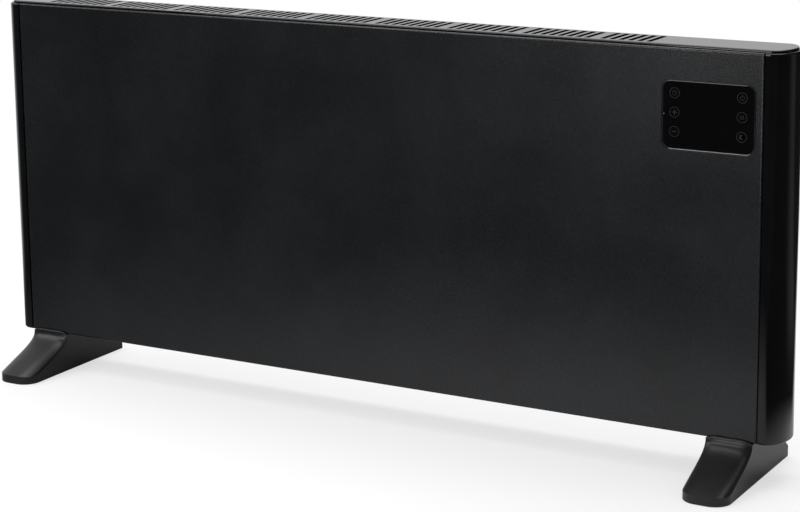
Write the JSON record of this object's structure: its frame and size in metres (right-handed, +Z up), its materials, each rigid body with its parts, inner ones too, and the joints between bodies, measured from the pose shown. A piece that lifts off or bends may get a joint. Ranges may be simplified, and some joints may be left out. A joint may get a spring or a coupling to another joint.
{
  "type": "wall panel convector heater",
  "caption": "Slim black panel convector heater with a slotted top outlet grille, curved end caps, a touch control glass and splayed floor feet.",
  "frame": {"origin": "on the floor, under the middle of the box that holds the whole heater", "axes": "+X along the panel, from the plain end to the control end; +Y from the front to the rear; +Z up"},
  "size_m": [1.007, 0.1876, 0.4588],
  "materials": {
    "powder_coat": "fine textured satin black powder coat",
    "gloss_plastic": "high gloss black moulding",
    "satin_plastic": "satin black moulding",
    "black_glass": "opaque polished black glass",
    "rubber": "matt black elastomer",
    "zinc_steel": "zinc plated sheet",
    "bright_steel": "plain bright steel",
    "aluminium": "mill finish",
    "ceramic": "unglazed white ceramic, weighed as plastic",
    "circuit_board": "green glass fibre laminate",
    "pale_plastic": "natural white moulding"
  },
  "bodies": {
    "casing": {"front_panel": "powder_coat", "rear_panel": "powder_coat", "intake_grille": "powder_coat", "top_grille": "gloss_plastic", "left_end_cap": "gloss_plastic", "right_end_cap": "gloss_plastic", "control_bezel": "gloss_plastic", "control_housing": "satin_plastic", "display_module": "satin_plastic", "relay": "satin_plastic", "left_foot": "satin_plastic", "right_foot": "satin_plastic", "power_switch_body": "satin_plastic", "control_glass": "black_glass", "cord_gland": "rubber", "left_toe_pad": "rubber", "left_heel_pad": "rubber", "right_toe_pad": "rubber", "right_heel_pad": "rubber", "left_touch_pad_1": "rubber", "left_touch_pad_2": "rubber", "left_touch_pad_3": "rubber", "right_touch_pad_1": "rubber", "right_touch_pad_2": "rubber", "right_touch_pad_3": "rubber", "partition_plate": "zinc_steel", "left_hanger_plate": "zinc_steel", "right_hanger_plate": "zinc_steel", "left_element_bracket": "zinc_steel", "right_element_bracket": "zinc_steel", "element_tube": "bright_steel", "thermal_cutout": "bright_steel", "air_temperature_sensor": "bright_steel", "tilt_pivot_pin": "bright_steel", "left_front_foot_screw": "bright_steel", "left_rear_foot_screw": "bright_steel", "right_front_foot_screw": "bright_steel", "right_rear_foot_screw": "bright_steel", "lower_left_rear_screw": "bright_steel", "lower_right_rear_screw": "bright_steel", "upper_left_rear_screw": "bright_steel", "upper_right_rear_screw": "bright_steel", "element_fins": "aluminium", "heat_shield": "aluminium", "left_element_insulator": "ceramic", "right_element_insulator": "ceramic", "control_board": "circuit_board", "power_board": "circuit_board", "electronics_tray": "pale_plastic", "terminal_block": "pale_plastic", "sensor_holder": "pale_plastic", "tilt_switch_housing": "pale_plastic", "tilt_switch_cover": "pale_plastic"},
    "rocker": {"power_rocker": "satin_plastic"},
    "pendulum": {"tilt_pendulum": "bright_steel"}
  },
  "joints": [
    {"name": "power_rocker_hinge", "type": "hinge", "parent": "casing", "child": "rocker", "pos_m": [0.4375, 0.04805, 0.106], "axis": [1, 0, 0], "range_deg": [-18, 0]},
    {"name": "tilt_pendulum_hinge", "type": "hinge", "parent": "casing", "child": "pendulum", "pos_m": [0.3905, 0.01725, 0.0766], "axis": [1, 0, 0], "range_deg": [-30, 30]}
  ]
}
